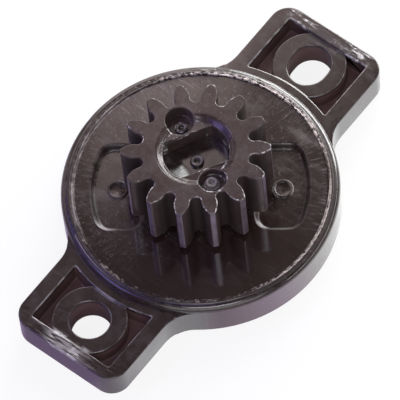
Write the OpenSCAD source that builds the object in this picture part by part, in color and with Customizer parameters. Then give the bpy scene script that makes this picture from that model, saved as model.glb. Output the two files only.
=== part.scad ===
// Rotary damper: a flat round housing with two fixing ears, and a spur gear on a rotor that turns in grease.
// Millimetres. Z is the gear's axis, z = 0 is the mounting face, and +X points at the slotted ear.

/* [Housing] */
// Outside diameter of the round body
body_d = 30; // [28:0.5:40]
// Thickness of the chamber's floor
floor_t = 0.8; // [0.6:0.1:1.4]
// Width of the rim that stands outside the welded cover
rim_w = 1; // [0.8:0.1:1.6]
// Rounding of the rim's outer edge
rim_round = 0.7; // [0.3:0.1:1]
// Width of the ledge that carries the cover
ledge_w = 1.4; // [0.8:0.1:2]
// Radius of the weld flash that stands along the cover's edge
flash_r = 0.16; // [0.08:0.01:0.24]
// Diameter of the post that the rotor turns on
pivot_d = 3; // [2:0.1:4]
// Height of the post above the chamber's floor
pivot_h = 1.8; // [1.2:0.1:2.2]

/* [Ears] */
// Length over both ears
ear_span = 48; // [46:0.5:60]
// Width of an ear
ear_w = 14; // [12.5:0.5:16]
// Thickness of an ear
ear_t = 3.6; // [3:0.1:4]
// Rounding of an ear's outer corners
ear_corner = 2.2; // [0.5:0.1:3]
// Hollow rounding between an ear's side and the body
ear_fillet = 4; // [1:0.5:6]
// Wall between a pocket and the ear's side
side_wall = 1.8; // [1:0.1:2.4]
// Wall between a pocket and the ear's end
end_wall = 1.5; // [1:0.1:2]
// Wall between a pocket and the round body
ring_wall = 1; // [0.6:0.1:1.6]
// Floor left under the pockets
pocket_floor = 1.2; // [0.6:0.1:2]
// Diameter of a screw boss
boss_d = 8.1; // [7:0.1:9]
// How far a screw boss lies below the ear's top
boss_drop = 0.25; // [0.05:0.05:0.6]
// Diameter of the round screw hole, and width of the slotted one
hole_d = 4.4; // [3.2:0.1:5]
// Length of the slotted screw hole
slot_l = 5; // [4.5:0.1:5.6]
// Distance of a screw hole's middle from the ear's end
hole_end = 4.8; // [4:0.1:5.2]

/* [Cover] */
// Thickness of the cover
cover_t = 1.6; // [1.4:0.1:2.5]
// Depth of the two pockets that the welding tool drives the cover by
dog_depth = 0.8; // [0.3:0.1:1]
// Width of a drive pocket
dog_w = 10; // [6:0.5:12]
// Distance of a drive pocket's inner edge from the axis
dog_in = 6.1; // [5.6:0.1:7]
// Radius of a drive pocket's outer edge
dog_out = 11.6; // [10.6:0.1:12.4]
// Rounding of a drive pocket's corners
dog_round = 1.5; // [0.5:0.1:2]
// Turn of the drive pockets from the ears, in degrees
dog_turn = -53.6; // [-90:0.1:90]
// Diameter of the moulding mark in a drive pocket
mark_d = 2.2; // [1:0.1:3]
// Width and height of the raised line round a moulding mark
mark_line = 0.25; // [0.1:0.05:0.4]

/* [Seal] */
// Thickness of the O-ring
oring_t = 1; // [0.8:0.05:1.2]

/* [Rotor] */
// Diameter of the journal that runs in the cover
journal_d = 8; // [7.4:0.1:8.4]
// Diameter of the drive that carries the gear
drive_d = 7; // [6:0.1:7.2]
// Distance across the drive's two flats
drive_flats = 4.7; // [4:0.1:5.2]
// How far the drive ends below the gear's top
drive_drop = 2.9; // [1.9:0.1:5]
// Thickness of the damping disc
disc_t = 0.8; // [0.5:0.1:1.4]
// Height of the damping rings on the disc, and of those between them on the floor
rib_h = 0.7; // [0.4:0.1:1.2]
// Thickness of a damping ring
rib_t = 0.6; // [0.4:0.05:0.8]
// Number of damping rings on the disc
rib_count = 4; // [2:1:4]
// Radius of the innermost damping ring on the disc
rib_first = 5.3; // [4.8:0.1:6]
// Wall round the pivot hole, under the disc
hub_wall = 1.5; // [0.8:0.1:2]
// Diameter of the gate mark on the drive's end
gate_d = 1.4; // [0.8:0.1:2]
// Height of the gate mark
gate_h = 0.35; // [0.1:0.05:0.6]
// Turn of the rotor and gear at rest, in degrees
rest_turn = -0.7; // [-12:0.1:12]

/* [Gear] */
// Module of the teeth
tooth_module = 1; // [0.96:0.01:1.2]
// Number of teeth
tooth_count = 14; // [14:1:18]
// Pressure angle of the teeth, in degrees
pressure_angle = 20; // [18:0.5:22]
// Rounding of the tooth tips
tip_round = 0.22; // [0.05:0.01:0.28]
// Width of the teeth along the axis
gear_face = 7.5; // [6:0.5:12]
// Gap between the cover and the gear
gear_gap = 0.7; // [0.3:0.1:2]
// Width of the round lead-in outside the drive hole's two arcs
lead_w = 0.85; // [0.2:0.05:1]
// Depth of that lead-in
lead_h = 0.6; // [0.2:0.1:1]
// Thickness of the walls round the two cored holes
core_wall = 0.2; // [0.15:0.01:0.5]
// Depth of the two cored holes
core_depth = 1.7; // [0.5:0.1:3]
// Diameter of the ejector mark in a cored hole
pip_d = 1.3; // [0.6:0.1:1.6]
// Height of the ejector mark
pip_h = 0.5; // [0.1:0.1:0.8]

/* [Clearances] */
// Radial gap of the rotor on its post and in the cover, and of the O-ring
running_gap = 0.05; // [0.02:0.01:0.08]
// Gap of pieces that are pressed or welded together
press_gap = 0.02; // [0.01:0.01:0.04]
// Axial gap round the damping disc and its rings
axial_gap = 0.25; // [0.15:0.05:0.5]
// Radial gap between the damping disc and the chamber's wall
edge_gap = 0.4; // [0.3:0.05:0.8]

/* [Hidden] */
$fn = 96;
// Overshoot of a cut past the face that it opens
over = 0.1;
// Points along a tooth's flank, its tip rounding and the round bottom of a gap
flank_steps = 5;
tip_steps = 3;
gap_steps = 8;

// Colours
housing_colour = [0.13, 0.10, 0.10];
cover_colour = [0.15, 0.12, 0.12];
rotor_colour = [0.17, 0.14, 0.14];
gear_colour = [0.19, 0.16, 0.16];
seal_colour = [0.05, 0.05, 0.05];

// Radii from the axis outwards
body_r = body_d / 2;
cover_r = body_r - rim_w;
chamber_r = cover_r - ledge_w;
disc_r = chamber_r - edge_gap;
journal_r = journal_d / 2;
drive_r = drive_d / 2;
pivot_r = pivot_d / 2;
gland_r = journal_r + oring_t + 2 * running_gap;
rib_step = (disc_r - rib_t / 2 - rib_first) / (rib_count - 1);

// Heights from the mounting face upwards
rib_z = floor_t + axial_gap;
disc_z = rib_z + rib_h;
ledge_z = disc_z + disc_t + axial_gap;
cover_z = ledge_z + cover_t;
gear_z = cover_z + gear_gap;
gear_top = gear_z + gear_face;
drive_end = gear_top - drive_drop;
pivot_top = floor_t + pivot_h;
gland_top = ledge_z + oring_t + running_gap;

// Ears
hole_x = ear_span / 2 - hole_end;
slot_run = slot_l - hole_d;
boss_z = ear_t - boss_drop;

// Gear
pitch_r = tooth_module * tooth_count / 2;
tip_r = pitch_r + tooth_module;
root_r = pitch_r - 1.25 * tooth_module;
base_r = pitch_r * cos(pressure_angle);
tooth_step = 360 / tooth_count;
hub_turn = -tooth_step;
core_in = drive_flats / 2 + core_wall;
core_r = (root_r - core_wall - core_in) / 2;
core_y = core_in + core_r;

function polar(r, a) = [r * cos(a), r * sin(a)];
function steps(from, to, count) = [for (i = [0:count]) from + (to - from) * i / count];
function arc(centre, r, from, to, count) = [for (a = steps(from, to, count)) centre + polar(r, a)];
function mirrored(points) = [for (i = [len(points) - 1:-1:0]) [points[i].x, -points[i].y]];
function turned(points, a) = [for (p = points) [p.x * cos(a) - p.y * sin(a), p.x * sin(a) + p.y * cos(a)]];

// Involute of the base circle, in degrees
function involute(a) = tan(a) * 180 / PI - a;
function flank_pressure(r) = acos(min(1, base_r / r));
// Angle from a tooth's middle to its flank at radius r
function half_tooth(r) = 90 / tooth_count + involute(pressure_angle) - involute(flank_pressure(r));

// Upper half of a tooth on +X, from the tip's middle round to the middle of the next gap
function half_outline() =
    let (
        tip_c = tip_r - tip_round,
        tip_a = half_tooth(tip_c) - tip_round / base_r * 180 / PI,
        flank_end = norm([base_r, sqrt(tip_c ^ 2 - base_r ^ 2) + tip_round]),
        tip_end = half_tooth(flank_end) + 90 - flank_pressure(flank_end),
        flank_foot = half_tooth(base_r),
        gap_middle = tooth_step / 2,
        gap_half = gap_middle - flank_foot,
        gap_c = root_r / (1 - sin(gap_half))
    )
    concat(
        arc(polar(tip_c, tip_a), tip_round, tip_a, tip_end, tip_steps),
        [for (r = steps(flank_end, base_r, flank_steps)) if (r < flank_end) polar(r, half_tooth(r))],
        arc(polar(gap_c, gap_middle), gap_c * sin(gap_half), flank_foot - 90, gap_middle - 180, gap_steps / 2)
    );

function gear_outline() =
    let (
        half = half_outline(),
        lower = mirrored([for (i = [0:len(half) - 2]) half[i]]),
        tooth = concat(lower, half)
    )
    [for (k = [0:tooth_count - 1]) each turned(tooth, k * tooth_step)];

// Round bar with two flats across Y
module double_d(r, flats, h) {
    intersection() {
        cylinder(r = r, h = h);
        translate([-r - over, -flats / 2, -over])
            cube([2 * (r + over), flats, h + 2 * over]);
    }
}

// Raised ring of diameter d, open in the middle
module ring_mark(d, line, h) {
    difference() {
        cylinder(d = d, h = h);
        translate([0, 0, -over])
            cylinder(d = d - 2 * line, h = h + 2 * over);
    }
}

// Half section of a wall of revolution from r_in to r_out
module section(r_in, r_out, z_in, z_out) {
    translate([r_in, z_in])
        square([r_out - r_in, z_out - z_in]);
}

// Half section of the housing's round cup
module cup_section() {
    difference() {
        union() {
            section(0, body_r - rim_round, 0, cover_z);
            section(0, body_r, 0, cover_z - rim_round);
            translate([body_r - rim_round, cover_z - rim_round])
                circle(rim_round);
        }
        section(-body_r, 0, -over, cover_z + over);
        section(-over, chamber_r, floor_t, cover_z + over);
        section(-over, cover_r, ledge_z, cover_z + over);
    }
    section(0, pivot_r, floor_t / 2, pivot_top);
    for (k = [0:rib_count - 2]) {
        rib_r = rib_first + (k + 0.5) * rib_step;
        section(rib_r - rib_t / 2, rib_r + rib_t / 2, floor_t / 2, disc_z - axial_gap);
    }
    translate([cover_r + flash_r, cover_z - flash_r / 4])
        circle(flash_r);
}

// Hollow corner between an ear's side and the body, on +X and +Y
module ear_fillet_patch() {
    centre_y = ear_w / 2 + ear_fillet;
    centre = [sqrt((body_r + ear_fillet) ^ 2 - centre_y ^ 2), centre_y];
    on_body = centre * body_r / (body_r + ear_fillet);
    difference() {
        polygon([[centre.x, ear_w / 2], on_body, [on_body.x * 0.9, ear_w / 4], [centre.x, ear_w / 4]]);
        translate(centre)
            circle(ear_fillet);
    }
}

// Plan of both ears with their fillets, open where the cup stands
module ear_plan() {
    corner = [ear_span / 2 - ear_corner, ear_w / 2 - ear_corner];
    difference() {
        union() {
            square([2 * corner.x, ear_w], center = true);
            square([ear_span, 2 * corner.y], center = true);
            for (sx = [-1, 1], sy = [-1, 1]) {
                translate([sx * corner.x, sy * corner.y])
                    circle(ear_corner);
                mirror([sx < 0 ? 1 : 0, 0])
                    mirror([0, sy < 0 ? 1 : 0])
                        ear_fillet_patch();
            }
        }
        circle(body_r - rim_w / 2);
    }
}

// Plan of the sunk field inside an ear's frame, on +X
module ear_field() {
    field_end = ear_span / 2 - end_wall;
    difference() {
        translate([0, side_wall - ear_w / 2])
            square([field_end, ear_w - 2 * side_wall]);
        circle(body_r + ring_wall);
    }
}

// Everything cut out of the ear on +X: the boss face, the two pockets beside it and the screw hole
module ear_cuts(run) {
    translate([0, 0, boss_z])
        linear_extrude(boss_drop + over)
            ear_field();
    translate([0, 0, pocket_floor])
        linear_extrude(ear_t)
            difference() {
                ear_field();
                translate([hole_x, 0])
                    circle(d = boss_d);
            }
    translate([hole_x, 0, -over]) {
        for (sx = [-1, 1])
            translate([sx * run / 2, 0, 0])
                cylinder(d = hole_d, h = ear_t + 2 * over);
        if (run > 0)
            translate([-run / 2, -hole_d / 2, 0])
                cube([run, hole_d, ear_t + 2 * over]);
    }
}

// Cup and ears, one moulding
module housing() {
    color(housing_colour)
        union() {
            rotate_extrude()
                cup_section();
            difference() {
                linear_extrude(ear_t)
                    ear_plan();
                ear_cuts(slot_run);
                mirror([1, 0, 0])
                    ear_cuts(0);
            }
        }
}

// Plan of a drive pocket on +X, its outer edge concentric with the cover
module dog_plan() {
    corner_y = dog_w / 2 - dog_round;
    outer_x = sqrt((dog_out - dog_round) ^ 2 - corner_y ^ 2);
    inner_x = dog_in + dog_round;
    translate([inner_x, -dog_w / 2])
        square([outer_x - inner_x, dog_w]);
    translate([dog_in, -corner_y])
        square([outer_x - dog_in, 2 * corner_y]);
    intersection() {
        circle(dog_out);
        polygon([[inner_x, 0], [outer_x, -corner_y], [outer_x, -corner_y] * 2, [outer_x, corner_y] * 2,
            [outer_x, corner_y]]);
    }
    for (x = [inner_x, outer_x], sy = [-1, 1])
        translate([x, sy * corner_y])
            circle(dog_round);
}

// Disc welded into the housing, with the shaft's bore and seal gland
module cover() {
    color(cover_colour) {
        difference() {
            translate([0, 0, ledge_z])
                cylinder(r = cover_r - press_gap, h = cover_t);
            translate([0, 0, ledge_z - over])
                cylinder(r = journal_r + running_gap, h = cover_t + 2 * over);
            translate([0, 0, ledge_z - over])
                cylinder(r = gland_r, h = gland_top - ledge_z + over);
            for (half = [0, 180])
                rotate([0, 0, dog_turn + half])
                    translate([0, 0, cover_z - dog_depth])
                        linear_extrude(dog_depth + over)
                            dog_plan();
        }
        for (half = [0, 180])
            rotate([0, 0, dog_turn + half])
                translate([(dog_in + dog_out) / 2, 0, cover_z - dog_depth])
                    ring_mark(mark_d, mark_line, mark_line);
    }
}

// Shaft seal, against the top of its gland
module o_ring() {
    color(seal_colour)
        translate([0, 0, gland_top - running_gap / 2 - oring_t / 2])
            rotate_extrude()
                translate([journal_r + running_gap + oring_t / 2, 0])
                    circle(d = oring_t);
}

// Half section of the damping disc with its rings, the hub round the pivot hole and the journal
module rotor_section() {
    hole_r = pivot_r + running_gap;
    section(hole_r, disc_r, disc_z, disc_z + disc_t);
    section(hole_r, hole_r + hub_wall, rib_z, disc_z + disc_t);
    section(hole_r, journal_r, disc_z, pivot_top + axial_gap);
    section(0, journal_r, pivot_top + axial_gap, gear_z);
    for (k = [0:rib_count - 1]) {
        rib_r = rib_first + k * rib_step;
        section(rib_r - rib_t / 2, rib_r + rib_t / 2, rib_z, disc_z + disc_t / 2);
    }
}

// Damping disc, journal and drive, one moulding
module rotor() {
    color(rotor_colour)
        rotate([0, 0, rest_turn]) {
            rotate_extrude()
                rotor_section();
            rotate([0, 0, hub_turn])
                translate([0, 0, gear_z - over])
                    double_d(drive_r, drive_flats, drive_end - gear_z + over);
            translate([0, 0, drive_end])
                ring_mark(gate_d, gate_d / 4, gate_h);
        }
}

// Drive hole with its round lead-in, which also lowers the ledges over the flats, and the two cored holes
module hub_cuts() {
    bore_r = drive_r + press_gap;
    bore_flats = drive_flats + 2 * press_gap;
    translate([0, 0, gear_z - over])
        double_d(bore_r, bore_flats, gear_face + 2 * over);
    rotate_extrude()
        polygon([[0, gear_top - lead_h], [bore_r, gear_top - lead_h], [bore_r + lead_w, gear_top],
            [bore_r + lead_w, gear_top + over], [0, gear_top + over]]);
    for (sy = [-1, 1])
        translate([0, sy * core_y, gear_top - core_depth])
            cylinder(r = core_r, h = core_depth + over);
}

// Spur gear pressed on the drive, one moulding
module gear() {
    color(gear_colour)
        rotate([0, 0, rest_turn]) {
            difference() {
                translate([0, 0, gear_z])
                    linear_extrude(gear_face)
                        polygon(gear_outline());
                rotate([0, 0, hub_turn])
                    hub_cuts();
            }
            rotate([0, 0, hub_turn])
                for (sy = [-1, 1])
                    translate([0, sy * (core_y - pip_d / 4), gear_top - core_depth])
                        ring_mark(pip_d, pip_d / 4, pip_h);
        }
}

housing();
cover();
o_ring();
rotor();
gear();
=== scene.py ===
"""Looks of the rotary damper: moulded dark plastic, a spun weld and a spur gear, on a pale floor."""

import math

import bpy
from mathutils import Matrix, Vector


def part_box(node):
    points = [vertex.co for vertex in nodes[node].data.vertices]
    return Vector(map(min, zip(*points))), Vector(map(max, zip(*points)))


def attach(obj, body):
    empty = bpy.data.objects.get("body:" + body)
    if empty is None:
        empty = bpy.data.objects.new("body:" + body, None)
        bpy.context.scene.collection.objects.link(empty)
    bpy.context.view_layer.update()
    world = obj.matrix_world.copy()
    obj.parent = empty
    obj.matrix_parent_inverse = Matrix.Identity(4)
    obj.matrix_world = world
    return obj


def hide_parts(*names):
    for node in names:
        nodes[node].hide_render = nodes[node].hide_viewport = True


MM = 0.001

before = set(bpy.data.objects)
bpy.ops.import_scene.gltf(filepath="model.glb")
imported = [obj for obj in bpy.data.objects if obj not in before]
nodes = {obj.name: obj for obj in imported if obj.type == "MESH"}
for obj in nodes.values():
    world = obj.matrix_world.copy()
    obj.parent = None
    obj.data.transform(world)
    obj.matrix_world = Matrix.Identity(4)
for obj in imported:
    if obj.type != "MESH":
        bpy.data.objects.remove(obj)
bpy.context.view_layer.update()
_, housing_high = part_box("housing")
_, cover_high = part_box("cover")
_, gear_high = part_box("gear")

# Sizes taken from the CAD pieces
EAR_END = housing_high.x
COVER_TOP = cover_high.z
GEAR_TOP = gear_high.z


def span(low, high, start=0.0):
    """Two places in millimetres from a start, between which a look comes in or fades out."""
    return start + low * MM, start + high * MM


# Radii of the edges of the mouldings
HOUSING_EDGE = 0.15 * MM
POCKET_EDGE = 0.36 * MM
MARK_EDGE = 0.06 * MM
GEAR_EDGE = 0.11 * MM
HOLE_CORNER = 0.35 * MM
ROTOR_EDGE = 0.06 * MM

# Where the edges of the ears begin, clear of the thin tips at the round wall, and the height of the underside
EAR_START = 13.6 * MM
EAR_FACES_R = 14.9 * MM
EAR_EDGES_R = 15.25 * MM
UNDERSIDE = 0.05 * MM

# Turn of the two drive pockets in the cover, where their edges lie, and the place of the ring marks in them
POCKET_TURN = math.radians(-53.6)
POCKET_R = span(5.8, 12.2)
POCKET_LOWEST = 3.3 * MM
MARK_R = 8.85 * MM
MARK_AT = (MARK_R * math.cos(POCKET_TURN), MARK_R * math.sin(POCKET_TURN))
MARK_REACH = 1.5 * MM

# Turn of the drive hole in the gear, and where its corners lie, from the axis and from its middle line
HUB_TURN = math.radians(-26.41)
CORNER_R = span(3.4, 3.6)
CORNER_SIDE = span(2.34, 2.42)

# Mesh work: gaps that are closed, and the angles up to which faces are one and edges stay smooth
JOIN_GAP = 0.002 * MM
CUT_GAP = 0.0005 * MM
FLAT_ANGLE = math.radians(0.6)
SHARP_ANGLE = math.radians(38)

# Weld flash along the cover's edge, and the torn ring inside it, which comes up on one side only
FLASH_R = 14.05 * MM
FLASH_THICK = 0.17 * MM
FLASH_ROUGH = 0.24 * MM
FLASH_GRAIN = 0.45 * MM
FLASH_SMOOTH = math.radians(60)
TEAR_R = 13.78 * MM
TEAR_THICK = 0.14 * MM
TEAR_TILT = (0.006, -0.006, 0)


# Selecting and modelling helpers
def only(obj):
    """Selects one object and makes it the active one."""
    bpy.ops.object.select_all(action="DESELECT")
    obj.select_set(True)
    bpy.context.view_layer.objects.active = obj


def apply_modifiers(obj):
    only(obj)
    for modifier in list(obj.modifiers):
        bpy.ops.object.modifier_apply(modifier=modifier.name)


def within(value, limits):
    return limits[0] < value < limits[1]


def everywhere(place):
    return True


def on_outside(place):
    """The ears and the underside of the housing. Its rim is already round."""
    on_ear = abs(place.x) > EAR_START and place.xy.length > EAR_FACES_R
    return on_ear or place.z < UNDERSIDE


def on_ears(place):
    """The edges of the ears, without the thin tips where they run into the round wall."""
    return abs(place.x) > EAR_START and place.xy.length > EAR_EDGES_R


def on_marks(place):
    """The ring marks on the floors of the cover's two pockets, which lie opposite each other."""
    middle = Vector(MARK_AT)
    return min((place.xy - middle).length, (place.xy + middle).length) < MARK_REACH


def on_pockets(place):
    """The edges of the cover's two pockets, without the ring marks and the welded edge."""
    return within(place.xy.length, POCKET_R) and place.z > POCKET_LOWEST and not on_marks(place)


def on_hole_corners(place):
    """The four upright corners of the gear's drive hole, where its flats meet its arcs."""
    across = place.y * math.cos(HUB_TURN) - place.x * math.sin(HUB_TURN)
    return within(place.xy.length, CORNER_R) and within(abs(across), CORNER_SIDE)


def sharp_edges(mesh, where):
    """Edges between two faces that meet at more than the sharp angle."""
    faces = {}
    for face in mesh.polygons:
        for key in face.edge_keys:
            faces.setdefault(key, []).append(face.normal)
    found = []
    for edge in mesh.edges:
        normals = faces.get(edge.key, [])
        if len(normals) != 2 or normals[0].angle(normals[1], 0) < SHARP_ANGLE:
            continue
        if all(where(mesh.vertices[v].co) for v in edge.vertices):
            found.append(edge.index)
    return found


def choose(obj, domain, picks):
    """Selects some faces or edges of an object, and goes into edit mode."""
    only(obj)
    bpy.ops.object.mode_set(mode="EDIT")
    bpy.ops.mesh.select_mode(type=domain)
    bpy.ops.mesh.select_all(action="DESELECT")
    bpy.ops.object.mode_set(mode="OBJECT")
    items = obj.data.polygons if domain == "FACE" else obj.data.edges
    for index in picks:
        items[index].select = True
    bpy.ops.object.mode_set(mode="EDIT")


def clean_copy(node, name, split, where):
    """A copy of a CAD piece with its flat faces made whole.

    A seam through the holes keeps every flat face free of holes, so that the edges come out clean.
    """
    piece = bpy.data.objects.new(name, nodes[node].data.copy())
    bpy.context.scene.collection.objects.link(piece)
    only(piece)
    bpy.ops.object.mode_set(mode="EDIT")
    bpy.ops.mesh.select_mode(type="EDGE")
    bpy.ops.mesh.select_all(action="SELECT")
    bpy.ops.mesh.remove_doubles(threshold=JOIN_GAP)
    bpy.ops.mesh.select_all(action="SELECT")
    bpy.ops.mesh.bisect(plane_co=(0, 0, 0), plane_no=split, use_fill=False, threshold=CUT_GAP)
    bpy.ops.mesh.mark_seam(clear=False)
    bpy.ops.object.mode_set(mode="OBJECT")
    mesh = piece.data
    flat = [f.index for f in mesh.polygons if all(where(mesh.vertices[v].co) for v in f.vertices)]
    choose(piece, "FACE", flat)
    bpy.ops.mesh.dissolve_limited(angle_limit=FLAT_ANGLE, delimit={"SEAM"})
    bpy.ops.object.mode_set(mode="OBJECT")
    return piece


def round_edges(piece, breaks):
    """Rounds sharp edges and marks the new faces as worn. They carry the second material slot until then."""
    piece.data.materials.clear()
    piece.data.materials.append(None)
    piece.data.materials.append(None)
    for radius, steps, where in breaks:
        choose(piece, "EDGE", sharp_edges(piece.data, where))
        bpy.ops.mesh.bevel(
            offset=radius, segments=steps, profile=0.5, affect="EDGES", clamp_overlap=False,
            miter_outer="ARC", material=1,
        )
        bpy.ops.object.mode_set(mode="OBJECT")
    worn = piece.data.attributes.new("worn_edge", "FLOAT", "FACE")
    for face in piece.data.polygons:
        worn.data[face.index].value = face.material_index
        face.material_index = 0


def shade_evenly(piece):
    """Smooth shading that keeps large faces flat and the edges that are left sharp."""
    only(piece)
    bpy.ops.object.shade_smooth()
    choose(piece, "EDGE", sharp_edges(piece.data, everywhere))
    bpy.ops.mesh.mark_sharp()
    bpy.ops.object.mode_set(mode="OBJECT")
    weighted = piece.modifiers.new("flat_faces", "WEIGHTED_NORMAL")
    weighted.mode = "FACE_AREA"
    weighted.weight = 100
    weighted.keep_sharp = True
    apply_modifiers(piece)


def moulded_copy(node, name, breaks, split=(0, 1, 0), faces=everywhere):
    """A copy of a CAD piece with the small radius that a mould leaves on its sharp edges.

    Each break gives a radius, its steps and where its edges lie.
    """
    piece = clean_copy(node, name, split, faces)
    round_edges(piece, breaks)
    shade_evenly(piece)
    return piece


def weld_flash(name, radius, thick, tilt):
    """Rough ring of squeezed-out plastic along the cover's edge. A tilt lets it come up on one side only."""
    bpy.ops.object.select_all(action="DESELECT")
    bpy.ops.mesh.primitive_torus_add(
        major_segments=256, minor_segments=10, major_radius=radius, minor_radius=thick,
        location=(0, 0, COVER_TOP), rotation=tilt,
    )
    ring = bpy.context.object
    ring.name = name
    bpy.ops.object.transform_apply(location=True, rotation=True, scale=True)
    bpy.ops.object.mode_set(mode="EDIT")
    bpy.ops.mesh.select_all(action="SELECT")
    bpy.ops.mesh.subdivide(number_cuts=1)
    bpy.ops.object.mode_set(mode="OBJECT")
    grain = bpy.data.textures.new(name + "_grain", "CLOUDS")
    grain.noise_scale = FLASH_GRAIN
    grain.noise_depth = 3
    rough = ring.modifiers.new("rough", "DISPLACE")
    rough.texture = grain
    rough.texture_coords = "LOCAL"
    rough.strength = FLASH_ROUGH
    rough.mid_level = 0.55
    apply_modifiers(ring)
    bpy.ops.object.shade_smooth_by_angle(angle=FLASH_SMOOTH)
    return ring


class Value:
    """One output of a material's nodes. Python's operators on it add Math nodes."""

    def __init__(self, sheet, socket):
        self.sheet = sheet
        self.socket = socket

    def math(self, operation, *others):
        inputs = dict(enumerate((self, *others)))
        return self.sheet.node("ShaderNodeMath", {"operation": operation}, inputs)

    def __add__(self, other):
        return self.math("ADD", other)

    def __radd__(self, other):
        return self.math("ADD", other)

    def __sub__(self, other):
        return self.math("SUBTRACT", other)

    def __rsub__(self, other):
        return self.sheet.node("ShaderNodeMath", {"operation": "SUBTRACT"}, {0: other, 1: self})

    def __mul__(self, other):
        return self.math("MULTIPLY", other)

    def __truediv__(self, other):
        return self.math("DIVIDE", other)

    def __pow__(self, other):
        return self.math("POWER", other)


def length(x, y):
    return (x * x + y * y) ** 0.5


class Sheet:
    """The node sheet of one material, with the place on the piece that is being coloured."""

    def __init__(self, name):
        self.material = bpy.data.materials.new(name)
        self.material.use_nodes = True
        self.tree = self.material.node_tree
        self.tree.nodes.clear()
        self.place = self.node("ShaderNodeTexCoord", output="Object")
        self.x, self.y, self.z = (self.axis(letter) for letter in "XYZ")
        self.radius = length(self.x, self.y)

    def node(self, kind, settings=None, inputs=None, output=0):
        """Adds a node: its settings first, then the values or links of its sockets. Gives one output."""
        made = self.tree.nodes.new(kind)
        for name, value in (settings or {}).items():
            if name == "stops":
                self.set_stops(made.color_ramp, value)
            else:
                setattr(made, name, value)
        for key, value in (inputs or {}).items():
            if isinstance(value, Value):
                self.tree.links.new(value.socket, made.inputs[key])
            else:
                made.inputs[key].default_value = value
        return Value(self, made.outputs[output]) if made.outputs else None

    @staticmethod
    def set_stops(ramp, stops):
        while len(ramp.elements) < len(stops):
            ramp.elements.new(0.5)
        for element, (place, colour) in zip(ramp.elements, stops):
            element.position = place
            element.color = colour

    def axis(self, letter):
        return self.node("ShaderNodeSeparateXYZ", inputs={"Vector": self.place}, output=letter)

    def point(self, x, y, z=0.0):
        return self.node("ShaderNodeCombineXYZ", inputs={"X": x, "Y": y, "Z": z})

    def along(self, direction):
        """How far the place lies from the axis in one direction, in plan."""
        return self.x * direction[0] + self.y * direction[1]

    def distance(self, point):
        """How far the place lies from a point, in plan."""
        return length(self.x - point[0], self.y - point[1])

    def worn_edge(self):
        """1 on the faces of rounded edges, 0 elsewhere."""
        return self.node("ShaderNodeAttribute", {"attribute_name": "worn_edge"}, output="Fac")

    def noise(self, scale, detail=3.0, roughness=0.5, vector=None):
        """Noise at the place on the piece, or at another vector."""
        return self.node(
            "ShaderNodeTexNoise",
            {"noise_dimensions": "3D"},
            {"Vector": vector or self.place, "Scale": scale, "Detail": detail, "Roughness": roughness},
        )

    def band(self, value, limits):
        """0 before the first limit, 1 past the second, smooth between them."""
        return self.node(
            "ShaderNodeMapRange",
            {"interpolation_type": "SMOOTHSTEP"},
            {"Value": value, "From Min": limits[0], "From Max": limits[1]},
        )

    def fade(self, value, limits):
        """1 before the first limit, 0 past the second, smooth between them."""
        return 1.0 - self.band(value, limits)

    def hill(self, value, rise, fall):
        """Comes in over the first limits and fades out over the second."""
        return self.band(value, rise) * self.fade(value, fall)

    def near(self, value, middle, limits):
        """1 close to a middle on both sides, fading over the limits away from it."""
        return self.fade((value - middle).math("ABSOLUTE"), limits)

    def spots(self, scale, detail, limits, roughness=0.5):
        """Spots of noise, with soft borders between the limits."""
        return self.band(self.noise(scale, detail, roughness), limits)

    def sector(self, cosines, sines):
        """A part of the way round the axis, by the limits of the turn's cosine and sine."""
        return self.band(self.x / self.radius, cosines) * self.band(self.y / self.radius, sines)

    def mix(self, share, first, second):
        return self.node("ShaderNodeMix", {"data_type": "RGBA"}, {0: share, 6: first, 7: second}, output=2)

    def bump(self, height, depth, strength=1.0, normal=None):
        inputs = {"Height": height, "Distance": depth, "Strength": strength}
        if normal is not None:
            inputs["Normal"] = normal
        return self.node("ShaderNodeBump", inputs=inputs)

    def finish(self, **sockets):
        inputs = {name.replace("_", " "): value for name, value in sockets.items()}
        shader = self.node("ShaderNodeBsdfPrincipled", inputs=inputs)
        self.node("ShaderNodeOutputMaterial", inputs={"Surface": shader})
        return self.material


# Colours of the plastic, as light would see them
NEAR_BLACK = (0.023, 0.0125, 0.0112, 1)
WARM_BROWN = (0.037, 0.0210, 0.0192, 1)
GEAR_DARK = (0.049, 0.0290, 0.0268, 1)
GEAR_BROWN = (0.066, 0.0418, 0.0390, 1)
# Pale brown of the cored pockets, a painted fill light that lifts their shade
CORE_FILL_LIGHT_BROWN = (0.180, 0.1020, 0.0990, 1)
# Lilac of the tooth tips: rubbed plastic with a painted reflection of violet light
TIP_LILAC_REFLECTION = (0.20, 0.165, 0.23, 1)
WHITENED = (0.42, 0.39, 0.39, 1)
SCUFF_WHITE = (0.82, 0.81, 0.79, 1)
FLASH_WHITE = (0.80, 0.72, 0.66, 1)
RUBBER = (0.012, 0.012, 0.012, 1)

# Depths of the relief in the plastic
SKIN_DEPTH = 0.012 * MM
SCUFF_DEPTH = 0.06 * MM
RIDGE_DEPTH = 0.03 * MM
WAVE_DEPTH = 0.02 * MM
FAN_DEPTH = 0.03 * MM
LUMP_DEPTH = 0.06 * MM

# How often marks change in a metre: scratches along and across them, the ears' scuffs and the cover's smears
# along X and Y
SCRATCH_RUN = (380.0, 5200.0)
SCUFF_RUN = (4200.0, 420.0)
SMEAR_RUN = (760.0, 200.0)

# The side of gear and cover that is worn most, and where the wear of the edges comes in
WORN_TO = (-0.55, -0.83)
EDGES_WORN = span(-1.0, 4.0)

# The far left of the part in the photo, as a turn's cosine and sine
FAR_LEFT = ((0.55, 0.25), (0.35, 0.65))


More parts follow.
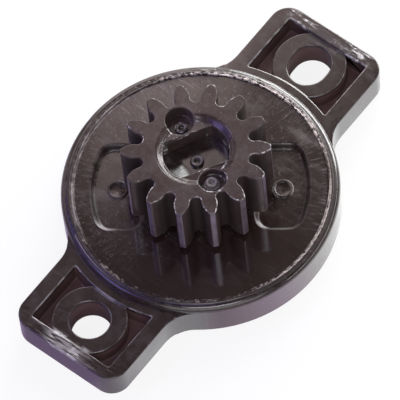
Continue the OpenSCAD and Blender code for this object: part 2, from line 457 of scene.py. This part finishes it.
def moulded_skin(sheet, dark, light, gloss):
    """Colour, roughness and height of dark moulded plastic: faint flow clouds and an uneven skin."""
    clouds = sheet.noise(260, 4)
    skin = sheet.noise(900, 3)
    colour = sheet.mix(sheet.band(clouds, (0.35, 0.7)), dark, light)
    colour = sheet.mix(sheet.band(skin, (0.45, 0.68)) * 0.035, colour, WHITENED)
    rough = gloss + sheet.band(clouds, (0.3, 0.8)) * 0.08 + sheet.band(skin, (0.4, 0.7)) * 0.08
    return colour, rough, skin


def scratches(sheet, turn, share):
    """Sparse fine lines in one direction."""
    along = sheet.along((math.cos(turn), math.sin(turn)))
    across = sheet.along((-math.sin(turn), math.cos(turn)))
    run = sheet.point(along * SCRATCH_RUN[0], across * SCRATCH_RUN[1], turn)
    return sheet.band(sheet.noise(1.0, 1, 0.4, run), (1.0 - share, 1.1 - share))


def edge_wear(sheet, more=0.0):
    """Bright nicks and rubbed lengths along the rounded edges."""
    lengths = sheet.band(sheet.noise(420, 3, 0.6) + more, (0.52, 0.62))
    nicks = sheet.spots(3000, 2, (0.50, 0.60))
    return sheet.worn_edge() * (lengths * 0.08 + lengths * nicks * 0.92 + 0.03)


def plain_plastic(sheet, dark, light, gloss, wear):
    """Colour, roughness and normal of the gear and the rotor, with fine scratches and worn edges."""
    colour, rough, height = moulded_skin(sheet, dark, light, gloss)
    lines = scratches(sheet, turn=1.5, share=0.34).math("MAXIMUM", scratches(sheet, turn=2.2, share=0.33))
    colour = sheet.mix(lines * 0.05, colour, WHITENED)
    worn_side = sheet.band(sheet.along(WORN_TO), EDGES_WORN)
    colour = sheet.mix(edge_wear(sheet, worn_side * 0.10) * wear, colour, SCUFF_WHITE)
    normal = sheet.bump(height - lines * 0.3, SKIN_DEPTH, 0.5)
    return colour, rough, normal


# Bands on the gear: outwards from the axis, towards the worn side and upwards
TIP_LAND = span(7.965, 7.99)
FLANK_IN = span(5.0, 5.2)
FLANK_OUT = span(7.2, 7.9)
FLANK_TOP = span(-0.4, -0.2, GEAR_TOP)
LEAD_IN = span(3.4, 3.6)
LEAD_OUT = span(4.25, 4.4)
RIDGE_STEP = 0.27 * MM
RIDGES_CLEAR = span(-2.0, 2.0)

# Place of the pale ejector mark in one of the gear's cored holes
PIP_AT = (-1.66 * MM, -3.34 * MM)
PIP_REACH = span(0.75, 0.85)
PIP_TOP = span(-1.0, -0.9, GEAR_TOP)


def gear_look(name):
    """The gear's plastic. The lands on the tooth tips are rubbed pale and tinted lilac, a painted reflection
    of violet light; the flanks are matt and darkened with painted shade.
    """
    sheet = Sheet(name)
    colour, rough, normal = plain_plastic(sheet, GEAR_DARK, GEAR_BROWN, gloss=0.30, wear=1.0)
    edge = sheet.worn_edge()
    grain = sheet.spots(2200, 3, (0.42, 0.66))
    specks = sheet.spots(3000, 1, (0.70, 0.76))
    colour = sheet.mix(grain * 0.045 + specks * 0.25, colour, WHITENED)
    rubbed = 0.45 + sheet.spots(700, 2, (0.35, 0.65)) * 0.5
    # Tip lands rubbed pale and tinted lilac: wear, with a painted reflection of violet light
    colour = sheet.mix(sheet.band(sheet.radius, TIP_LAND) * rubbed, colour, TIP_LILAC_REFLECTION)

    # Fine rings in the lead-in of the drive hole, clearest on the worn side
    turned = sheet.hill(sheet.radius, LEAD_IN, LEAD_OUT)
    worn_side = sheet.band(sheet.along(WORN_TO), RIDGES_CLEAR)
    waves = (sheet.radius * (2 * math.pi / RIDGE_STEP)).math("SINE")
    normal = sheet.bump(waves * turned * (0.15 + worn_side * 0.85), RIDGE_DEPTH, 1.0, normal)

    # Tooth flanks and roots, darkened with painted shade, and the pale ejector mark
    shaded_flank = sheet.fade(sheet.z, FLANK_TOP) * sheet.hill(sheet.radius, FLANK_IN, FLANK_OUT)
    # Painted shade: the flanks and roots are painted near black
    colour = sheet.mix(shaded_flank * 0.7, colour, NEAR_BLACK)
    pip = sheet.fade(sheet.distance(PIP_AT), PIP_REACH) * sheet.fade(sheet.z, PIP_TOP)
    colour = sheet.mix(pip * 0.9, colour, WHITENED)

    rough = rough + shaded_flank * 0.35 - turned * 0.16 + edge * 0.14
    coat = (0.6 - shaded_flank * 0.6 - edge * 0.35).math("MAXIMUM", 0.0)
    return sheet.finish(
        Base_Color=colour, Roughness=rough, Normal=normal, IOR=1.55, Coat_Weight=coat, Coat_Roughness=0.10,
    )


# How the drive's end leans, how strongly it curves up at one side, along and across it, and where that begins
LEAN = (-0.029, -0.028)
RISE_ALONG = 66.0
RISE_ACROSS = 20.0
RISE_AT = (-0.8 * MM, -1.0 * MM)
RISE_WIDENS = span(0.0, 1.5)

# The ring that the mould's gate left in the middle of the drive's end, painted pale as a painted highlight
GATE_HIGHLIGHT_IN = span(0.30, 0.38)
GATE_HIGHLIGHT_OUT = span(0.58, 0.66)


def rotor_look(name):
    """The rotor's plastic. The drive's end leans and curves up at one side, as thick mouldings do."""
    sheet = Sheet(name)
    colour, rough, skin = plain_plastic(sheet, NEAR_BLACK, WARM_BROWN, gloss=0.14, wear=0.3)
    beyond = (RISE_AT[0] - sheet.x).math("MAXIMUM", 0.0)
    aside = sheet.y - RISE_AT[1]
    rise = beyond * beyond * RISE_ALONG + aside * aside * RISE_ACROSS * sheet.band(beyond, RISE_WIDENS)
    normal = sheet.bump(rise + sheet.along(LEAN), 1.0, 1.0, skin)
    # Painted highlight: a pale ring where the gate left its ring
    colour = sheet.mix(sheet.hill(sheet.radius, GATE_HIGHLIGHT_IN, GATE_HIGHLIGHT_OUT) * 0.45, colour, WHITENED)
    return sheet.finish(Base_Color=colour, Roughness=rough, Normal=normal, IOR=1.9, Coat_Weight=0.0)


# Bands on the ears: outwards to the ear's end, aside from its middle line and upwards
SLOTTED_EAR = span(-1.0, 1.0)
EAR_TOP = span(3.0, 3.4)
BAR_END = span(-1.8, -1.4, EAR_END)
BAR_SIDE = span(4.8, 6.6)
BAR_MIDDLE = span(0.8, 3.3)
BAR_CORNER_IN = span(1.8, 3.0)
BAR_CORNER_OUT = span(5.0, 6.2)
BOSS_TIP_END = span(-2.1, -1.7, EAR_END)
BOSS_TIP_SIDE = span(1.2, 3.0)
BOSS_END = span(-2.6, -2.2, EAR_END)
BOSS_SIDE = span(2.6, 3.4)
SMEAR_IN = span(-2.5, -1.8, EAR_END)
SMEAR_OUT = span(-1.0, -0.4, EAR_END)
SMEAR_SIDE = span(1.6, 3.2)
SMEAR_TOP = span(3.0, 3.2)
CORE_END = span(-1.55, -1.45, EAR_END)
CORE_SIDE = span(5.15, 5.25)
CORE_TOP = span(2.9, 3.2)
CORE_RIM_END = span(-1.2, -1.1, EAR_END)
CORE_RIM_SIDE = span(5.45, 5.55)
CORE_RIM_TOP = span(3.2, 3.5)

# The flat lip inside the rim, and the part of it that is dull
LIP = span(14.6, 14.4)
LIP_SIDE = ((-0.6, -0.3), (-0.25, -0.5))


def housing_look(name):
    """The housing's plastic: scuffed ends of the ears with painted glints, matt cored pockets painted paler
    as a painted fill light, painted highlights on their rims, and a dull lip inside the rim.
    """
    sheet = Sheet(name)
    colour, rough, height = moulded_skin(sheet, NEAR_BLACK, WARM_BROWN, gloss=0.24)
    far_out = sheet.x.math("ABSOLUTE")
    aside = sheet.y.math("ABSOLUTE")
    slotted = sheet.band(sheet.x, SLOTTED_EAR)
    round_side = 1.0 - slotted
    scuff_run = sheet.point(sheet.x * SCUFF_RUN[0], sheet.y * SCUFF_RUN[1])
    streaks = sheet.noise(1.0, 3, 0.6, scuff_run)
    patches = sheet.spots(420, 3, (0.40, 0.58))
    specks = sheet.spots(2600, 2, (0.42, 0.58))
    lines = scratches(sheet, turn=1.62, share=0.36)

    # Scuffs on the bar at the ear's end, painted near white, which also stands for painted glints of the
    # lamps: in its middle by the round hole, towards its corners by the slot
    top = sheet.band(sheet.z, EAR_TOP)
    bar = sheet.band(far_out, BAR_END) * sheet.fade(aside, BAR_SIDE) * top
    in_middle = sheet.fade(aside, BAR_MIDDLE)
    at_corners = sheet.hill(aside, BAR_CORNER_IN, BAR_CORNER_OUT)
    boss_tip = sheet.band(far_out, BOSS_TIP_END) * sheet.fade(aside, BOSS_TIP_SIDE) * top
    struck = bar * (in_middle * round_side + at_corners * slotted) * (0.35 + patches * 0.65)
    struck = struck.math("MAXIMUM", boss_tip * patches * round_side)
    worn_lines = sheet.band(streaks, (0.38 + slotted * 0.10, 0.50 + slotted * 0.10))
    scuffs_and_glints = struck * worn_lines * 1.5 + bar * sheet.band(streaks, (0.55, 0.68)) * 0.25
    scuffs_and_glints = scuffs_and_glints.math("MINIMUM", 1.0) * (1.0 - (1.0 - specks) * (0.18 + slotted * 0.62))

    # Smear that joins the slotted boss to the bar
    smear = sheet.hill(far_out, SMEAR_IN, SMEAR_OUT) * sheet.fade(aside, SMEAR_SIDE)
    smear = smear * sheet.band(sheet.z, SMEAR_TOP) * slotted

    # Cored pockets, painted a paler brown as a painted fill light, their rounded rims without the boss, and
    # the dull lip
    cored = sheet.fade(sheet.z, CORE_TOP) * sheet.fade(far_out, CORE_END) * sheet.fade(aside, CORE_SIDE)
    at_core = sheet.fade(far_out, CORE_RIM_END) * sheet.fade(aside, CORE_RIM_SIDE)
    at_boss = sheet.band(far_out, BOSS_END) * sheet.fade(aside, BOSS_SIDE)
    core_rim_highlight = sheet.worn_edge() * at_core * sheet.band(sheet.z, CORE_RIM_TOP) * (1.0 - at_boss)
    lip = sheet.band(sheet.radius, LIP) * sheet.sector(*LIP_SIDE)

    white = lines * 0.06 * (1.0 - cored) + edge_wear(sheet) * 0.1
    # Painted highlight along the rounded rims of the cored pockets
    white = white + core_rim_highlight * (0.12 + sheet.spots(800, 3, (0.42, 0.6)) * 0.6)
    white = white + smear * (0.06 + patches * specks * 0.25)
    # Painted fill light: the cored pockets are painted a paler brown
    colour = sheet.mix(cored, colour, CORE_FILL_LIGHT_BROWN)
    colour = sheet.mix(white, colour, WHITENED)
    # Near-white scuffs, partly painted glints of the lamps
    colour = sheet.mix(scuffs_and_glints, colour, SCUFF_WHITE)
    rough = rough + cored * 0.25 + scuffs_and_glints * 0.3 + smear * 0.3 + lip * 0.35
    coat = (0.9 - cored * 0.7 - smear * 0.8 - lip * 0.85).math("MAXIMUM", 0.0)
    skin = sheet.bump(height - lines * 0.3, SKIN_DEPTH, 0.5)
    normal = sheet.bump((streaks - 0.5) * struck, SCUFF_DEPTH, 0.9, skin)
    return sheet.finish(
        Base_Color=colour, Roughness=rough, Normal=normal, IOR=1.6, Coat_Weight=coat, Coat_IOR=1.6,
        Coat_Roughness=0.10,
    )


# The fine marks of the spinning weld, how often they change in a radian and in a metre outwards,
# and the side that is clean of them
FAN = span(8.5, 12.5)
FAN_RUN = (46.0, 460.0)
CLEAN_SIDE = span(3.0, 9.0)

# Middles and reach of the painted sheen on the cover's far part and of the painted sheen on the left pocket's
# floor, the side where its edge is rubbed, and the height of the pockets' floor
SHEEN_AT = (7.3 * MM, 11.8 * MM)
SHEEN_REACH = span(2.0, 8.0)
POCKET_SHEEN_AT = (-7.3 * MM, 7.2 * MM)
POCKET_SHEEN_REACH = span(0.5, 3.6)
RUBBED_TO = (0.75, -0.66)
RUBBED_EDGE = span(8.0, 12.5)
POCKET_FLOOR = span(-0.5, -0.3, COVER_TOP)

# The ring mark that shows as two pale arcs
MARK_FADE = span(-0.2, 0.0, MARK_REACH)
MARK_ALONG = MARK_AT[0] * RUBBED_TO[0] + MARK_AT[1] * RUBBED_TO[1]
MARK_ARCS = span(0.45, 0.85)

# Painted highlights on the edges of the cover's pockets, with their middles and reach, and the side where
# those edges are dull
PAINTED_HIGHLIGHTS = [
    ((-9.9 * MM, 5.4 * MM), span(0.5, 1.7)),
    ((-3.1 * MM, 10.1 * MM), span(0.2, 0.9)),
    ((0.3 * MM, -8.1 * MM), span(0.3, 1.0)),
]
DULL_TO = (-0.72, -0.69)
DULL_SIDE = span(3.5, 4.4)

# The pale seam inside the weld at the far left
SEAM_R = 13.58 * MM
SEAM_WIDTH = span(0.05, 0.15)


def cover_look(name):
    """The cover's plastic: fine marks run outwards across its outer part, left by the spinning weld."""
    sheet = Sheet(name)
    edge = sheet.worn_edge()
    near_side = sheet.band(sheet.along(WORN_TO), CLEAN_SIDE)
    clean = 1.0 - near_side * 0.75
    rubbed = sheet.band(sheet.along(RUBBED_TO), RUBBED_EDGE)

    # Marks of the weld, scratches, smears, blotches, dust and painted sheen
    turn = sheet.y.math("ARCTAN2", sheet.x)
    fan_run = sheet.point(turn * FAN_RUN[0], sheet.radius * FAN_RUN[1])
    streaks = sheet.noise(1.0, 4, 0.65, fan_run)
    outer = sheet.band(sheet.radius, FAN) * (1.0 - near_side * 0.85).math("MAXIMUM", rubbed)
    fan = sheet.band(streaks, (0.50, 0.70)) * outer
    lines = scratches(sheet, turn=1.55, share=0.38)
    smear_run = sheet.point(sheet.x * SMEAR_RUN[0], sheet.y * SMEAR_RUN[1])
    smears = sheet.band(sheet.noise(1.0, 4, 0.6, smear_run), (0.42, 0.66)) * clean
    blotches = sheet.spots(330, 3, (0.40, 0.62), 0.55) * clean
    far_sheen = sheet.fade(sheet.distance(SHEEN_AT), SHEEN_REACH)
    # Painted sheen on the left pocket's floor, fading where the gear's shadow begins
    pocket_sheen = sheet.fade(sheet.distance(POCKET_SHEEN_AT), POCKET_SHEEN_REACH) * sheet.fade(sheet.z, POCKET_FLOOR)
    specks = sheet.spots(3000, 2, (0.62, 0.70)) * (1.0 - near_side)

    # Marks on the edges of the pockets and inside the weld
    arcs = sheet.band((sheet.along(RUBBED_TO) - MARK_ALONG).math("ABSOLUTE"), MARK_ARCS)
    mark = edge * sheet.fade(sheet.distance(MARK_AT), MARK_FADE) * arcs
    dull = edge * sheet.band(sheet.along(DULL_TO), DULL_SIDE)
    seam = sheet.near(sheet.radius, SEAM_R, SEAM_WIDTH) * sheet.sector(*FAR_LEFT)
    seam = seam * (0.32 + sheet.spots(900, 3, (0.45, 0.62)) * 0.65)

    # Scratches show whiter inside the painted sheen on the far part
    white = fan * 0.11 + lines * (0.04 + far_sheen * 0.3) + edge_wear(sheet) * 0.10
    # Painted sheen on the left pocket's floor, with smears, and the ring mark's arcs
    white = white + pocket_sheen * (0.04 + smears * 0.08) + mark * 0.8
    white = white + specks * 0.20 + fan * rubbed * 0.12 + seam
    # Painted highlights on the pocket edges
    for point, reach in PAINTED_HIGHLIGHTS:
        white = white + edge * sheet.fade(sheet.distance(point), reach) * 0.9
    # Painted sheen on the far part, then smears, blotches and the rubbed edge
    white = white + far_sheen * (0.05 + smears * 0.10) + smears * blotches * 0.10 + rubbed * (0.03 + smears * 0.06)
    colour = sheet.mix(white, sheet.mix(blotches, NEAR_BLACK, WARM_BROWN), WHITENED)
    rough = 0.11 + fan * 0.15 + smears * 0.10 + blotches * 0.14 + edge * 0.14 + dull * 0.06
    coat = (1.0 - edge * 0.65 - dull * 0.35 - smears * 0.25 - blotches * 0.3).math("MAXIMUM", 0.0)
    skin = sheet.bump(sheet.noise(380, 3), WAVE_DEPTH, 0.35)
    normal = sheet.bump(streaks * outer, FAN_DEPTH, 0.5, skin)
    return sheet.finish(
        Base_Color=colour, Roughness=rough, Normal=normal, IOR=1.6, Coat_Weight=coat, Coat_IOR=1.6,
        Coat_Roughness=0.08,
    )


# Sides of the weld flash, as limits of a turn's cosine, sine or both
# The side where the flash is painted whiter, a painted highlight, and made shinier
HIGHLIGHT_SIDE = (0.2, 0.9)
PALE_SIDE = (-0.70, -0.95)
THIN_SIDE = ((-0.5, -0.1), (-0.35, -0.75))

# The flash's outside, the thin pale line on its thin side, how that widens on the pale side, and its crest
FLASH_OUTSIDE = span(-0.02, 0.08, FLASH_R)
THIN_R = 13.96 * MM
THIN_WIDTH = span(0.05, 0.11)
THIN_WIDENS = span(0.06, 0.10)
CREST_WIDTH = span(0.06, 0.16)


def flash_look(name):
    """Torn and whitened plastic squeezed out of the weld: thin or dark on different sides, and painted whiter
    on the lit side as a painted highlight.
    """
    sheet = Sheet(name)
    lumps = sheet.noise(2200, 4, 0.7)
    highlight_side = sheet.band(sheet.x / sheet.radius, HIGHLIGHT_SIDE)
    pale_side = sheet.band(sheet.y / sheet.radius, PALE_SIDE)
    thin_side = sheet.sector(*THIN_SIDE)
    dark_side = sheet.sector(*FAR_LEFT)
    flecks = sheet.spots(600, 3, (0.42, 0.56)).math("MAXIMUM", highlight_side + pale_side * 0.7)
    inner = 1.0 - sheet.band(sheet.radius, FLASH_OUTSIDE) * 0.9
    # Torn flecks, painted whiter on the highlight side as a painted highlight
    torn = sheet.band(lumps, (0.46, 0.58 - highlight_side * 0.04)) * flecks * (0.5 + highlight_side * 0.6)
    width = [pale_side * wider + narrow for wider, narrow in zip(THIN_WIDENS, THIN_WIDTH)]
    thin = sheet.near(sheet.radius, THIN_R, width) * (0.25 + sheet.band(lumps, (0.38, 0.52)) * 0.6)
    crest = sheet.near(sheet.radius, TEAR_R, CREST_WIDTH)
    white = torn * inner * (1.0 - thin_side) * (1.0 - dark_side * 0.8) + thin * thin_side
    white = white + dark_side * (0.05 + crest * (0.08 + flecks * 0.25))
    colour = sheet.mix(white, WARM_BROWN, FLASH_WHITE)
    shiny = highlight_side * (1.0 - thin_side)
    rough = 0.55 - shiny * 0.25 + thin_side * 0.35
    normal = sheet.bump(lumps, LUMP_DEPTH, 0.8)
    return sheet.finish(
        Base_Color=colour, Roughness=rough, Normal=normal, IOR=1.5, Coat_Weight=shiny * inner * 0.8,
        Coat_Roughness=0.2,
    )


def rubber_look(name):
    """The seal's matt rubber."""
    sheet = Sheet(name)
    grain = sheet.noise(4000, 3)
    colour = sheet.mix(grain, RUBBER, WARM_BROWN)
    return sheet.finish(Base_Color=colour, Roughness=0.6 + grain * 0.2, IOR=1.5)


def dress(obj, material, body, slot, *stands_for):
    """Gives a piece its material, the body it rides on and the CAD pieces that it stands for. Its slot is not
    used.
    """
    obj.data.materials.clear()
    obj.data.materials.append(material)
    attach(obj, body)
    if stands_for:
        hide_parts(*stands_for)


# The pieces
housing = moulded_copy("housing", "housing_shell", [(HOUSING_EDGE, 3, on_ears)], faces=on_outside)
cover = moulded_copy(
    "cover", "cover_disc", [(POCKET_EDGE, 5, on_pockets), (MARK_EDGE, 3, on_marks)],
    split=(math.sin(POCKET_TURN), -math.cos(POCKET_TURN), 0),
)
gear = moulded_copy("gear", "gear_wheel", [(HOLE_CORNER, 5, on_hole_corners), (GEAR_EDGE, 3, everywhere)])
rotor = moulded_copy("rotor", "rotor_spindle", [(ROTOR_EDGE, 3, everywhere)])
flash = weld_flash("weld_flash", FLASH_R, FLASH_THICK, (0, 0, 0))
tears = weld_flash("weld_tears", TEAR_R, TEAR_THICK, TEAR_TILT)

flash_plastic = flash_look("flash_plastic")
dress(housing, housing_look("housing_plastic"), "case", "housing_plastic", "housing")
dress(cover, cover_look("cover_plastic"), "case", "cover_plastic", "cover")
dress(gear, gear_look("gear_plastic"), "spindle", "gear_plastic", "gear")
dress(rotor, rotor_look("rotor_plastic"), "spindle", "rotor_plastic", "rotor")
dress(flash, flash_plastic, "case", "housing_plastic")
dress(tears, flash_plastic, "case", "cover_plastic")
nodes["o_ring"].data.materials.clear()
nodes["o_ring"].data.materials.append(rubber_look("seal_rubber"))

# Camera at the photograph's angle, from the viewpoint that the outlines in it give
CAMERA_AZIMUTH = math.radians(-46.11)
CAMERA_ELEVATION = math.radians(61.22)
CAMERA_ROLL = math.radians(-6.95)
CAMERA_DISTANCE = 625 * MM
PHOTO_SIZE = 400
PIXELS_PER_MM = 9.297
AXIS_PIXEL = (202.5, 205.9)
SENSOR = 36.0

back = Vector((
    math.sin(CAMERA_AZIMUTH) * math.cos(CAMERA_ELEVATION),
    -math.cos(CAMERA_AZIMUTH) * math.cos(CAMERA_ELEVATION),
    math.sin(CAMERA_ELEVATION),
))
level = Vector((math.cos(CAMERA_AZIMUTH), math.sin(CAMERA_AZIMUTH), 0))
upright = back.cross(level)
right = math.cos(CAMERA_ROLL) * level + math.sin(CAMERA_ROLL) * upright
up = back.cross(right)
away = Vector((-math.sin(CAMERA_AZIMUTH), math.cos(CAMERA_AZIMUTH), 0))

# Light of the world, and the floor's size, place, paint and glow
WORLD_LIGHT = 0.06
WORLD_TINT = (1, 0.86, 0.84, 1)
FLOOR_SIZE = 6
FLOOR_LEVEL = -0.02 * MM
FLOOR_PAINT = (0.85, 0.85, 0.85, 1)
FLOOR_THIN = (0.2, 0.2, 0.2, 1)
FLOOR_GLOW = (0.85, 0.85, 0.85, 1)
BLACK = (0, 0, 0, 1)

# Where reflections of the floor fade: away from the part, and in the screw holes, where that fade is a
# painted shade
FLOOR_FADE = span(19, 36)
HOLE_X = 19.2 * MM
HOLE_FADE = span(2.2, 4.2)

# Tints of the room in reflections of the floor, once round from the far side over the left, near and right;
# the dark violet on the near left is a painted shadow
ROOM_TINTS_AND_SHADOW = [
    (0.0, (1, 1, 1, 1)),
    (0.30, (0.30, 0.20, 0.38, 1)),
    (0.40, (0.30, 0.20, 0.38, 1)),
    (0.44, (0.90, 0.90, 0.92, 1)),
    (0.475, (0.78, 0.78, 0.83, 1)),
    (0.505, (0.62, 0.49, 0.60, 1)),
    (0.58, (0.88, 0.72, 0.90, 1)),
    (0.65, (1, 1, 1, 1)),
]

# Colour of the lamps that stand behind and above the part
WARM_LIGHT = (1, 0.80, 0.78)


def add_camera():
    data = bpy.data.cameras.new("camera")
    camera = bpy.data.objects.new("camera", data)
    bpy.context.scene.collection.objects.link(camera)
    turn = Matrix((right, up, back)).transposed()
    camera.matrix_world = Matrix.Translation(back * CAMERA_DISTANCE) @ turn.to_4x4()
    data.sensor_width = SENSOR
    data.lens = SENSOR * PIXELS_PER_MM / MM * CAMERA_DISTANCE / PHOTO_SIZE
    data.shift_x = (PHOTO_SIZE / 2 - AXIS_PIXEL[0]) / PHOTO_SIZE
    data.shift_y = (AXIS_PIXEL[1] - PHOTO_SIZE / 2) / PHOTO_SIZE
    data.clip_start = 0.01
    bpy.context.scene.camera = camera


def add_softbox(name, sideways, depth, height, size, brightness, colour=(1, 1, 1)):
    """An area lamp placed as seen from the camera: sideways, away from it and up. It faces the part."""
    data = bpy.data.lights.new(name, "AREA")
    data.shape = "RECTANGLE"
    data.size, data.size_y = size
    data.energy = brightness * math.pi * size[0] * size[1]
    data.color = colour
    lamp = bpy.data.objects.new(name, data)
    bpy.context.scene.collection.objects.link(lamp)
    lamp.location = level * sideways + away * depth + Vector((0, 0, height))
    lamp.rotation_euler = lamp.location.to_track_quat("Z", "Y").to_euler()


def add_floor():
    """A pale floor that the camera sees as white.

    Reflections of it show the tints of a room and a painted shadow on the near left. They fade away from the
    part, and a painted shade darkens them in its holes.
    """
    bpy.ops.object.select_all(action="DESELECT")
    bpy.ops.mesh.primitive_plane_add(size=FLOOR_SIZE, location=(0, 0, FLOOR_LEVEL))
    floor = bpy.context.object
    floor.name = "floor"
    sheet = Sheet("floor_paint")
    camera = sheet.node("ShaderNodeLightPath", output="Is Camera Ray")
    glossy = sheet.node("ShaderNodeLightPath", output="Is Glossy Ray")
    through = sheet.node("ShaderNodeLightPath", output="Is Transmission Ray")
    seen = camera.math("MAXIMUM", glossy).math("MAXIMUM", through)
    from_hole = length(sheet.x.math("ABSOLUTE") - HOLE_X, sheet.y)
    floor_share = 1.0 - sheet.band(sheet.radius, FLOOR_FADE) * 0.65
    # Painted shade in the screw holes, where reflections of the floor dim
    hole_shade = 0.1 + sheet.band(from_hole, HOLE_FADE) * 0.9
    turn = sheet.along(level).math("ARCTAN2", sheet.along(-away)) / (2 * math.pi) + 0.5
    room = sheet.node("ShaderNodeValToRGB", {"stops": ROOM_TINTS_AND_SHADOW}, {"Fac": turn})
    reflected = sheet.mix(floor_share * hole_shade, BLACK, room)
    tint = sheet.mix(camera, reflected, FLOOR_GLOW)
    paint = sheet.node("ShaderNodeBsdfDiffuse", inputs={"Color": FLOOR_PAINT})
    thin = sheet.node("ShaderNodeBsdfDiffuse", inputs={"Color": FLOOR_THIN})
    glow = sheet.node("ShaderNodeEmission", inputs={"Color": tint, "Strength": 1.0})
    bright = sheet.node("ShaderNodeAddShader", inputs={0: thin, 1: glow})
    shader = sheet.node("ShaderNodeMixShader", inputs={0: seen, 1: paint, 2: bright})
    sheet.node("ShaderNodeOutputMaterial", inputs={"Surface": shader})
    floor.data.materials.append(sheet.material)


def add_world():
    world = bpy.data.worlds.new("studio")
    bpy.context.scene.world = world
    world.use_nodes = True
    background = world.node_tree.nodes["Background"]
    background.inputs["Color"].default_value = WORLD_TINT
    background.inputs["Strength"].default_value = WORLD_LIGHT


add_camera()
add_floor()
add_world()

# Lamps, with their place and size in metres
add_softbox("back_soft", -0.0045, 0.131, 0.152, (0.022, 0.085), 1.3, WARM_LIGHT)
add_softbox("back_low", 0.013, 0.140, 0.141, (0.026, 0.085), 0.75, WARM_LIGHT)
add_softbox("top_soft", -0.05, 0.072, 0.187, (0.20, 0.066), 0.05, WARM_LIGHT)
add_softbox("back_strip", 0.1286, 0.1907, 0.080, (0.22, 0.11), 9.0)
add_softbox("back_left", -0.035, 0.225, 0.098, (0.13, 0.15), 1.6, (1, 0.88, 0.86))
add_softbox("right_strip", 0.219, -0.03, 0.121, (0.30, 0.03), 4.0)
add_softbox("left_soft", -0.150, 0.112, 0.085, (0.10, 0.14), 0.55, (1, 0.82, 0.82))
add_softbox("violet", -0.182, -0.020, 0.158, (0.20, 0.20), 0.6, (0.25, 0.22, 1.0))
add_softbox("glint", 0.0925, 0.285, 0.265, (0.05, 0.08), 7.5)
add_softbox("violet_spot", -0.176, -0.060, 0.148, (0.08, 0.08), 1.6, (0.5, 0.42, 1.0))
add_softbox("lilac_strip", -0.083, 0.067, 0.192, (0.03, 0.05), 4.0, (0.8, 0.7, 1.0))
add_softbox("front_fill", 0.0, -0.39, 0.225, (0.50, 0.30), 1.1)
add_softbox("camera_soft", 0.0, -0.20, 0.40, (0.16, 0.09), 6.0, (0.95, 0.9, 1.0))

scene = bpy.context.scene
scene.view_settings.view_transform = "Standard"
